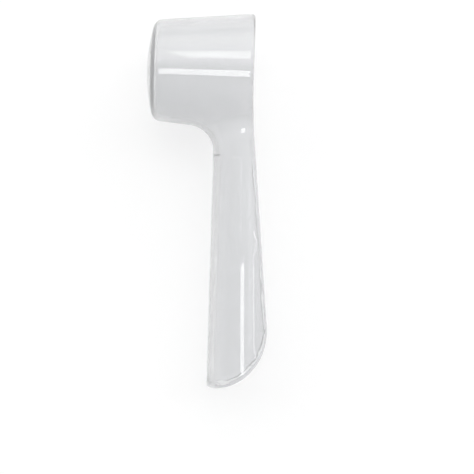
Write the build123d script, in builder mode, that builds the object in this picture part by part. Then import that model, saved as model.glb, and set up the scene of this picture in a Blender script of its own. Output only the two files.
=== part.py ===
"""Clear clip-over cover, moulded in one piece: a round hood, a half-round sleeve and a rounded tongue at its end.

The moulding is drawn with its plane of symmetry on XY: X runs from the closed face to the open back, Y runs along
the sleeve up to the hood, and Z runs across. It is then laid on its side, as it comes to rest on a table.
"""
import math
import os

from build123d import *

# Walls and the rounds along their free edge
wall = 1.0
rim_round = 0.7 * wall
rim_inner_round = 0.28 * wall

# Hood: a drafted cup with a domed face, on an axis that leans a little off square to the sleeve
hood_tilt = 2.0
hood_draft = 5.4
hood_rim_radius = 11.3
face_reach = 18.85
face_dome_radius = 33.5
face_corner_radius = 1.9

# Sleeve: a tapered half-round channel that runs down from the hood
sleeve_length = 59.6
sleeve_end_radius = 7.65
sleeve_taper = 1.7
throat_radius = 5.0

# Bore of the sleeve: it steps in by a small ledge below the throat and again by a gripping lip at the end
ledge_depth = 0.2
ledge_drop = 0.6
lip_height = 1.6
lip_depth = 0.25
step_slope = 20.0
step_round = 0.8

# Open back: how far the rim stands behind the axis of the sleeve, at the hood and at the tongue
rim_reach = 1.35
rim_reach_end = 4.4
rim_bend_drop = 7.0
rim_bend_radius = 90.0
tongue_radius = 10.8
tongue_slope = 5.5

tilt = math.radians(hood_tilt)
draft = math.radians(hood_draft)
taper = math.radians(sleeve_taper)
slope = math.tan(math.radians(tongue_slope))
lined_wall = wall + ledge_depth
lip_wall = lined_wall + lip_depth
step_run = 1 / math.tan(math.radians(step_slope))
beyond = 2 * hood_rim_radius
closed_end = -sleeve_length - beyond
hood_plane = Plane.XY.rotated((0, 0, -hood_tilt))


def hood_radius(x, inset):
    """Radius of the hood at a distance x along its axis behind the sleeve, drawn in by inset."""
    return hood_rim_radius + (x - rim_reach) * math.tan(draft) - inset / math.cos(draft)


def sleeve_radius(y, inset):
    """Radius of the sleeve at a height y from the hood's axis, drawn in by inset."""
    return sleeve_end_radius - (sleeve_length + y) * math.tan(taper) - inset / math.cos(taper)


def closed_form(inset):
    """Hood, throat and sleeve as one form with no opening, every face drawn in by inset."""
    front = -face_reach - wall
    with BuildPart() as form:
        with BuildSketch(hood_plane):
            with BuildLine():
                Polyline(
                    (front, 0),
                    (beyond, 0),
                    (beyond, hood_radius(beyond, inset)),
                    (front, hood_radius(front, inset)),
                    close=True,
                )
            make_face()
        revolve(axis=Axis((0, 0, 0), hood_plane.x_dir))

        # The domed face is the side of a large ball, rounded where it meets the wall of the hood
        with Locations(hood_plane.from_local_coords((face_dome_radius - face_reach, 0))):
            Sphere(face_dome_radius - inset, mode=Mode.INTERSECT)
        fillet(edges().sort_by(Axis.X)[0], face_corner_radius - inset)

        with BuildSketch(Plane.XY):
            with BuildLine():
                Polyline(
                    (0, 0),
                    (sleeve_radius(0, inset), 0),
                    (sleeve_radius(closed_end, inset), closed_end),
                    (0, closed_end),
                    close=True,
                )
            make_face()
        revolve(axis=Axis.Y)
        saddle = edges(Select.NEW).filter_by(lambda edge: edge.geom_type not in (GeomType.LINE, GeomType.CIRCLE))
        fillet(saddle, throat_radius + inset)
    return form.part


def on_rim(edge):
    """Whether an edge runs along the free edge of the wall, and not across it."""
    place = (edge @ 0.5).project_to_plane(Plane.XY)
    return edge.geom_type != GeomType.LINE and rim.distance_to(place) < wall / 100


def inside(edge):
    """Whether an edge lies on the inner side of the wall."""
    return hollow.part.distance_to(edge @ 0.5) < wall / 100


with BuildPart() as hollow:
    add(closed_form(wall))

    # Below the hood the hollow ends on a flat, a little behind the rim
    with BuildSketch(Plane.XY):
        with BuildLine():
            Polyline(
                (rim_reach + wall / 2, -rim_bend_drop),
                (rim_reach_end + wall / 2, -sleeve_length),
                (rim_reach_end + wall / 2, closed_end),
                (2 * beyond, closed_end),
                (2 * beyond, -rim_bend_drop),
                close=True,
            )
        make_face()
    extrude(amount=beyond, both=True, mode=Mode.SUBTRACT)

    # Steps of the bore: the ledge starts a little below the end of the throat, and the lip ends the sleeve
    throat_reach = sleeve_radius(0, 0) + throat_radius
    throat_end = throat_reach * math.sin(tilt) - hood_radius(-throat_reach, 0) - throat_radius
    ledge = throat_end - ledge_drop
    lip = -sleeve_length + lip_height
    ledge_foot = ledge - ledge_depth * step_run
    lip_foot = lip - lip_depth * step_run
    with BuildSketch(Plane.XY):
        with BuildLine():
            Polyline(
                (beyond, ledge),
                (sleeve_radius(ledge, wall), ledge),
                (sleeve_radius(ledge_foot, lined_wall), ledge_foot),
                (sleeve_radius(lip, lined_wall), lip),
                (sleeve_radius(lip_foot, lip_wall), lip_foot),
                (sleeve_radius(closed_end, lip_wall), closed_end),
                (beyond, closed_end),
                close=True,
            )
        make_face()
    revolve(axis=Axis.Y, mode=Mode.SUBTRACT)
    steps = edges().filter_by(GeomType.CIRCLE).filter_by_position(Axis.Y, -sleeve_length, throat_end)
    fillet(steps, step_round)

with BuildPart() as moulding:
    add(closed_form(0))
    add(hollow.part, mode=Mode.SUBTRACT)

    # Open back: the rim runs down the hood, leans back along the sleeve and turns under it as the tongue
    with BuildSketch(Plane.XY):
        with BuildLine():
            rim = FilletPolyline(
                hood_plane.from_local_coords((rim_reach, hood_rim_radius)),
                hood_plane.from_local_coords((rim_reach, -rim_bend_drop)),
                (rim_reach_end, -sleeve_length + (rim_reach_end + sleeve_end_radius) * slope),
                (-beyond, -sleeve_length - (beyond - sleeve_end_radius) * slope),
                radius=(rim_bend_radius, tongue_radius),
            )
            Polyline(
                rim @ 1,
                (-beyond, -sleeve_length - 2 * beyond),
                (2 * beyond, -sleeve_length - 2 * beyond),
                (2 * beyond, beyond),
                rim @ 0 - (rim % 0) * wall,
                rim @ 0,
            )
        make_face()
    extrude(amount=beyond, both=True, mode=Mode.SUBTRACT)

    # Rounds along the free edge, wide on the outside and fine on the inside
    fillet(edges().filter_by(on_rim).filter_by(inside, reverse=True), rim_round)
    fillet(edges().filter_by(on_rim).filter_by(inside), rim_inner_round)


def laid_down(dip):
    """The moulding on a table: it lies on one straight line of the hood, with its sleeve dipped by an angle."""
    up_x = (math.sin(draft) + math.sin(dip) * math.sin(tilt)) / math.cos(tilt)
    up_y = math.sin(dip)
    up = Vector(up_x, up_y, math.sqrt(1 - up_x**2 - up_y**2))
    table = Plane(origin=up * -hood_height, x_dir=Vector(0, 1, 0).cross(up), z_dir=up)
    return table.to_local_coords(moulding.part)


# Resting place: the sleeve dips until its side touches the table, just above the tongue
tongue = rim.edges().filter_by(GeomType.CIRCLE).sort_by(Axis.Y)[0]
foot = tongue.arc_center.Y - math.sqrt(tongue_radius**2 - tongue.arc_center.X**2) + rim_round
foot_radius = sleeve_radius(foot, 0)
hood_height = hood_radius(0, 0) * math.cos(draft)
first_dip = math.asin(hood_height / math.hypot(foot, foot_radius)) - math.atan2(foot_radius, -foot)
sunk = laid_down(first_dip).bounding_box().min.Z
laid = laid_down(first_dip - sunk / foot)
middle = laid.bounding_box().center()

with BuildPart() as cover:
    add(laid.moved(Location((-middle.X, -middle.Y, 0))))

cover.part.label = "cover"
os.makedirs("parts", exist_ok=True)
export_step(cover.part, "parts/cover.step")
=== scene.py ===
"""Clear clip-over cover, lying on its side on a white table in soft studio light.

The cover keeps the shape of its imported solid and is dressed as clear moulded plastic. The table, the lamps
and the camera stand around it. All lengths are in metres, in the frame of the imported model.
"""
import logging
import math
from dataclasses import dataclass
from enum import Enum

import bmesh
import bpy
from mathutils import Matrix, Vector

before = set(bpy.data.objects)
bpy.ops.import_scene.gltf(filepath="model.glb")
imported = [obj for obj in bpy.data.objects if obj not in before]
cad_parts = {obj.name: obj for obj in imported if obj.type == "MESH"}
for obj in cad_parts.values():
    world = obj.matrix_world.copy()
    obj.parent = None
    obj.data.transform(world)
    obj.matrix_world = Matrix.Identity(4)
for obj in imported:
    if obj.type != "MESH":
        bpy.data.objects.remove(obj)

LOG = logging.getLogger("cover_scene")

Colour = tuple[float, float, float]
Point = tuple[float, float, float]
Span = tuple[float, float]


class Sum(Enum):
    """Sums that the materials work out from two numbers."""

    ADD = "ADD"
    LESS = "SUBTRACT"
    TIMES = "MULTIPLY"
    LARGER = "MAXIMUM"


@dataclass(frozen=True)
class Pattern:
    """A noise pattern: patches per metre, octaves of finer patches, stretch, and turn in degrees."""

    scale: float
    detail: float
    stretch: Point = (1.0, 1.0, 1.0)
    turn: Point = (0.0, 0.0, 0.0)


class Shades:
    """Small helper that lays out and links the nodes of one material or world."""

    def __init__(self, tree: bpy.types.NodeTree) -> None:
        """Keep the tree and empty it.

        Args:
            tree: The node tree that is filled.
        """
        self.tree = tree
        self.tree.nodes.clear()

    def node(self, kind: str, **settings: object) -> bpy.types.Node:
        """Add a node.

        Args:
            kind: The node's type name.
            **settings: Properties of the node to set.

        Returns:
            The new node.
        """
        made = self.tree.nodes.new(kind)
        for name, value in settings.items():
            setattr(made, name, value)
        return made

    def link(self, start: bpy.types.NodeSocket, end: bpy.types.NodeSocket) -> None:
        """Join an output to an input."""
        self.tree.links.new(start, end)

    def work_out(self, kind: Sum, first: object, second: object) -> bpy.types.NodeSocket:
        """Add a sum of two sockets or numbers.

        Args:
            kind: Which sum it is.
            first: A socket or a number.
            second: A socket or a number.

        Returns:
            The node's output.
        """
        made = self.node("ShaderNodeMath", operation=kind.value)
        for place, value in enumerate((first, second)):
            if isinstance(value, bpy.types.NodeSocket):
                self.link(value, made.inputs[place])
            else:
                made.inputs[place].default_value = value
        return made.outputs["Value"]

    def span(self, value: bpy.types.NodeSocket, old: Span, new: Span) -> bpy.types.NodeSocket:
        """Map a number from one range to another, held at the ends.

        Args:
            value: The number to map.
            old: Its lowest and highest value.
            new: What those become.

        Returns:
            The mapped number.
        """
        made = self.node("ShaderNodeMapRange", clamp=True)
        self.link(value, made.inputs["Value"])
        for name, number in zip(("From Min", "From Max", "To Min", "To Max"), (*old, *new)):
            made.inputs[name].default_value = number
        return made.outputs["Result"]

    def noise(self, pattern: Pattern) -> bpy.types.NodeSocket:
        """Add a noise pattern fixed to the piece.

        Args:
            pattern: The sizes of the pattern.

        Returns:
            The pattern's value.
        """
        place = self.node("ShaderNodeTexCoord")
        mapping = self.node("ShaderNodeMapping")
        mapping.inputs["Scale"].default_value = pattern.stretch
        mapping.inputs["Rotation"].default_value = tuple(math.radians(angle) for angle in pattern.turn)
        made = self.node("ShaderNodeTexNoise")
        made.inputs["Scale"].default_value = pattern.scale
        made.inputs["Detail"].default_value = pattern.detail
        self.link(place.outputs["Object"], mapping.inputs["Vector"])
        self.link(mapping.outputs["Vector"], made.inputs["Vector"])
        return made.outputs["Fac"]


@dataclass(frozen=True)
class ClearPlastic:
    """Clear moulded plastic with a faint haze, slow ripples from the mould and hairline scratches."""

    name: str = "clear_plastic"
    tint: Colour = (0.845, 0.848, 0.854)
    bend: float = 1.49
    clearness: float = 0.78
    smoke: Colour = (0.50, 0.52, 0.54)
    smoke_density: float = 35.0
    polish: Span = (0.025, 0.06)
    polish_patches: Pattern = Pattern(260.0, 4.0)
    polish_edge: Span = (0.3, 0.7)
    long_scratches: Pattern = Pattern(900.0, 2.0, stretch=(1.0, 0.035, 1.0), turn=(4.0, 0.0, 8.0))
    long_scratch_edge: Span = (0.66, 0.74)
    cross_scratches: Pattern = Pattern(800.0, 2.0, stretch=(0.05, 1.0, 1.0), turn=(0.0, 12.0, -21.0))
    cross_scratch_edge: Span = (0.70, 0.77)
    cross_scratch_depth: float = 0.7
    scratch_dulling: float = 0.1
    ripples: Pattern = Pattern(60.0, 1.0)
    ripple_height: float = 0.000002
    scratch_height: float = 0.0000006
    sheen_tint: Colour = (0.9, 0.9, 0.9)
    lamp_pass: Colour = (0.88, 0.885, 0.89)

    def build(self) -> bpy.types.Material:
        """Make the material.

        Returns:
            The new material.
        """
        material = bpy.data.materials.new(self.name)
        material.use_nodes = True
        shades = Shades(material.node_tree)
        plastic = shades.node("ShaderNodeBsdfPrincipled")
        plastic.inputs["Base Color"].default_value = (*self.tint, 1.0)
        plastic.inputs["IOR"].default_value = self.bend
        plastic.inputs["Specular Tint"].default_value = (*self.sheen_tint, 1.0)
        plastic.inputs["Transmission Weight"].default_value = self.clearness
        scratches = self.scratches(shades)
        dulling = shades.work_out(Sum.TIMES, scratches, self.scratch_dulling)
        patches = shades.span(shades.noise(self.polish_patches), self.polish_edge, self.polish)
        shades.link(shades.work_out(Sum.ADD, patches, dulling), plastic.inputs["Roughness"])
        shades.link(self.relief(shades, scratches), plastic.inputs["Normal"])
        surface = self.let_lamps_through(shades, plastic)
        smoke = shades.node("ShaderNodeVolumeAbsorption")
        smoke.inputs["Color"].default_value = (*self.smoke, 1.0)
        smoke.inputs["Density"].default_value = self.smoke_density
        shades.link(smoke.outputs["Volume"], surface.inputs["Volume"])
        return material

    def scratches(self, shades: Shades) -> bpy.types.NodeSocket:
        """Lay hairline scratches along the sleeve and across it.

        Args:
            shades: The material's nodes.

        Returns:
            How much of a scratch there is, from 0 to 1.
        """
        along = shades.noise(self.long_scratches)
        across = shades.noise(self.cross_scratches)
        fine = shades.span(along, self.long_scratch_edge, (0.0, 1.0))
        crossing = shades.span(across, self.cross_scratch_edge, (0.0, self.cross_scratch_depth))
        return shades.work_out(Sum.LARGER, fine, crossing)

    def relief(self, shades: Shades, scratches: bpy.types.NodeSocket) -> bpy.types.NodeSocket:
        """Raise the slow ripples of the mould and sink the scratches.

        Args:
            shades: The material's nodes.
            scratches: How much of a scratch there is.

        Returns:
            The normal that the plastic takes.
        """
        ripple = shades.node("ShaderNodeBump")
        ripple.inputs["Strength"].default_value = 1.0
        ripple.inputs["Distance"].default_value = self.ripple_height
        shades.link(shades.noise(self.ripples), ripple.inputs["Height"])
        groove = shades.node("ShaderNodeBump", invert=True)
        groove.inputs["Strength"].default_value = 1.0
        groove.inputs["Distance"].default_value = self.scratch_height
        shades.link(scratches, groove.inputs["Height"])
        shades.link(ripple.outputs["Normal"], groove.inputs["Normal"])
        return groove.outputs["Normal"]

    def let_lamps_through(self, shades: Shades, plastic: bpy.types.Node) -> bpy.types.Node:
        """Let the lamps shine through the walls, so that the shadow is as light as clear plastic casts.

        Args:
            shades: The material's nodes.
            plastic: The shader of the walls.

        Returns:
            The material's output.
        """
        ray = shades.node("ShaderNodeLightPath")
        opening = shades.node("ShaderNodeBsdfTransparent")
        opening.inputs["Color"].default_value = (*self.lamp_pass, 1.0)
        blend = shades.node("ShaderNodeMixShader")
        surface = shades.node("ShaderNodeOutputMaterial")
        shades.link(ray.outputs["Is Shadow Ray"], blend.inputs[0])
        shades.link(plastic.outputs["BSDF"], blend.inputs[1])
        shades.link(opening.outputs["BSDF"], blend.inputs[2])
        shades.link(blend.outputs["Shader"], surface.inputs["Surface"])
        return surface


@dataclass(frozen=True)
class WhitePaper:
    """Matt white paper that shows as plain white and still takes the cover's shadow."""

    name: str = "white_paper"
    colour: Colour = (0.98, 0.98, 0.98)
    dullness: float = 0.85
    shine: float = 0.1
    white_share: float = 0.6

    def build(self) -> bpy.types.Material:
        """Make the material.

        Returns:
            The new material.
        """
        material = bpy.data.materials.new(self.name)
        material.use_nodes = True
        shades = Shades(material.node_tree)
        paper = shades.node("ShaderNodeBsdfPrincipled")
        paper.inputs["Roughness"].default_value = self.dullness
        paper.inputs["Specular IOR Level"].default_value = self.shine
        paper.inputs["Base Color"].default_value = (*self.colour, 1.0)
        glow = shades.node("ShaderNodeEmission")
        glow.inputs["Color"].default_value = (1.0, 1.0, 1.0, 1.0)
        glow.inputs["Strength"].default_value = 1.0
        ray = shades.node("ShaderNodeLightPath")
        seen = shades.work_out(Sum.LARGER, ray.outputs["Is Camera Ray"], ray.outputs["Is Glossy Ray"])
        seen = shades.work_out(Sum.LARGER, seen, ray.outputs["Is Transmission Ray"])
        share = shades.work_out(Sum.TIMES, seen, self.white_share)
        blend = shades.node("ShaderNodeMixShader")
        surface = shades.node("ShaderNodeOutputMaterial")
        shades.link(share, blend.inputs[0])
        shades.link(paper.outputs["BSDF"], blend.inputs[1])
        shades.link(glow.outputs["Emission"], blend.inputs[2])
        shades.link(blend.outputs["Shader"], surface.inputs["Surface"])
        return material


@dataclass
class Cover:
    """The moulded cover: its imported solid, dressed as clear plastic."""

    node: str = "cover"
    finish: ClearPlastic = ClearPlastic()

    def dress(self, nodes: dict[str, bpy.types.Object]) -> bpy.types.Object:
        """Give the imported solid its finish.

        Args:
            nodes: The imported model's objects by name.

        Returns:
            The dressed object.
        """
        shell = nodes[self.node]
        material = self.finish.build()
        for place in range(len(shell.material_slots)):
            shell.material_slots[place].material = material
        return shell


@dataclass
class Table:
    """A round white table top under the cover."""

    radius: float = 1.6
    sides: int = 96
    finish: WhitePaper = WhitePaper()

    def build(self) -> bpy.types.Object:
        """Make the table top, with its upper face at height 0.

        Returns:
            The table top.
        """
        mesh = bpy.data.meshes.new("table_top")
        disc = bmesh.new()
        bmesh.ops.create_circle(disc, cap_ends=True, segments=self.sides, radius=self.radius)
        disc.to_mesh(mesh)
        disc.free()
        top = bpy.data.objects.new("table_top", mesh)
        bpy.context.scene.collection.objects.link(top)
        top.data.materials.append(self.finish.build())
        return top


@dataclass(frozen=True)
class Lamp:
    """One soft lamp that looks at the cover."""

    name: str
    place: Point
    along: Point
    size: Span
    radiance: float
    aim: Point = (0.0, 0.0, 0.01)

    def build(self) -> bpy.types.Object:
        """Make the lamp.

        Returns:
            The lamp.
        """
        data = bpy.data.lights.new(self.name, "AREA")
        data.shape = "RECTANGLE"
        data.size, data.size_y = self.size
        data.energy = self.radiance * math.pi * self.size[0] * self.size[1]
        lamp = bpy.data.objects.new(self.name, data)
        bpy.context.scene.collection.objects.link(lamp)
        back = (Vector(self.place) - Vector(self.aim)).normalized()
        across = back.cross(Vector(self.along)).normalized()
        turn = Matrix((across.cross(back), across, back)).transposed()
        lamp.matrix_world = Matrix.Translation(self.place) @ turn.to_4x4()
        return lamp


@dataclass
class Studio:
    """The room, lighter towards the hood's end, and its soft lamps."""

    room_dark: float = 0.4
    room_light: float = 1.85
    room_edge: Span = (0.02, 0.3)
    horizon: float = 0.75
    horizon_edge: Span = (0.1, 0.45)
    lamps: tuple[Lamp, ...] = (
        Lamp("hood_strip", (-0.187, -0.083, 0.58), (1.0, 0.0, 0.3), (0.12, 0.12), 5.0),
        Lamp("hood_softbox", (-0.08, 0.30, 0.55), (1.0, 0.0, 0.1), (0.2, 0.15), 3.0),
        Lamp("right_strip", (0.21, -0.055, 0.68), (0.0, 1.0, 0.0), (0.07, 0.05), 3.5),
    )

    def build(self) -> list[bpy.types.Object]:
        """Make the room and the lamps.

        Returns:
            The lamps.
        """
        self.paint_room()
        return [lamp.build() for lamp in self.lamps]

    def paint_room(self) -> None:
        """Paint one grey at the horizon, and overhead two greys with a soft edge between them."""
        world = bpy.data.worlds.new("grey_room")
        world.use_nodes = True
        shades = Shades(world.node_tree)
        place = shades.node("ShaderNodeTexCoord")
        parts = shades.node("ShaderNodeSeparateXYZ")
        shades.link(place.outputs["Generated"], parts.inputs["Vector"])
        ceiling = shades.span(parts.outputs["Y"], self.room_edge, (self.room_dark, self.room_light))
        height = shades.span(parts.outputs["Z"], self.horizon_edge, (0.0, 1.0))
        step = shades.work_out(Sum.TIMES, shades.work_out(Sum.LESS, ceiling, self.horizon), height)
        back = shades.node("ShaderNodeBackground")
        back.inputs["Strength"].default_value = 1.0
        surface = shades.node("ShaderNodeOutputWorld")
        shades.link(shades.work_out(Sum.ADD, step, self.horizon), back.inputs["Color"])
        shades.link(back.outputs["Background"], surface.inputs["Surface"])
        bpy.context.scene.world = world


@dataclass
class Camera:
    """The camera, square to the cover's plane of symmetry."""

    place: Point = (-0.02104, -0.02410, 0.28216)
    right: Point = (0.995327, -0.006084, 0.096366)
    up: Point = (0.0, 0.998013, 0.063004)
    lens: float = 109.93
    sensor: float = 36.0
    reach: Span = (0.01, 20.0)

    def build(self) -> bpy.types.Object:
        """Make the camera and hand it to the scene.

        Returns:
            The camera.
        """
        data = bpy.data.cameras.new("camera")
        data.lens = self.lens
        data.sensor_width = self.sensor
        data.clip_start, data.clip_end = self.reach
        camera = bpy.data.objects.new("camera", data)
        bpy.context.scene.collection.objects.link(camera)
        right = Vector(self.right).normalized()
        back = right.cross(Vector(self.up)).normalized()
        turn = Matrix((right, back.cross(right), back)).transposed()
        camera.matrix_world = Matrix.Translation(self.place) @ turn.to_4x4()
        bpy.context.scene.camera = camera
        return camera


def main() -> None:
    """Build the camera, the cover and the studio in order."""
    logging.basicConfig(level=logging.INFO, format="%(name)s: %(message)s")
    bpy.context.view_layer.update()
    bpy.context.scene.view_settings.view_transform = "Standard"
    LOG.info("made %s", Camera().build().name)
    LOG.info("dressed %s", Cover().dress(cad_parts).name)
    LOG.info("made %s", Table().build().name)
    for lamp in Studio().build():
        LOG.info("made %s", lamp.name)


if __name__ == "__main__":
    main()
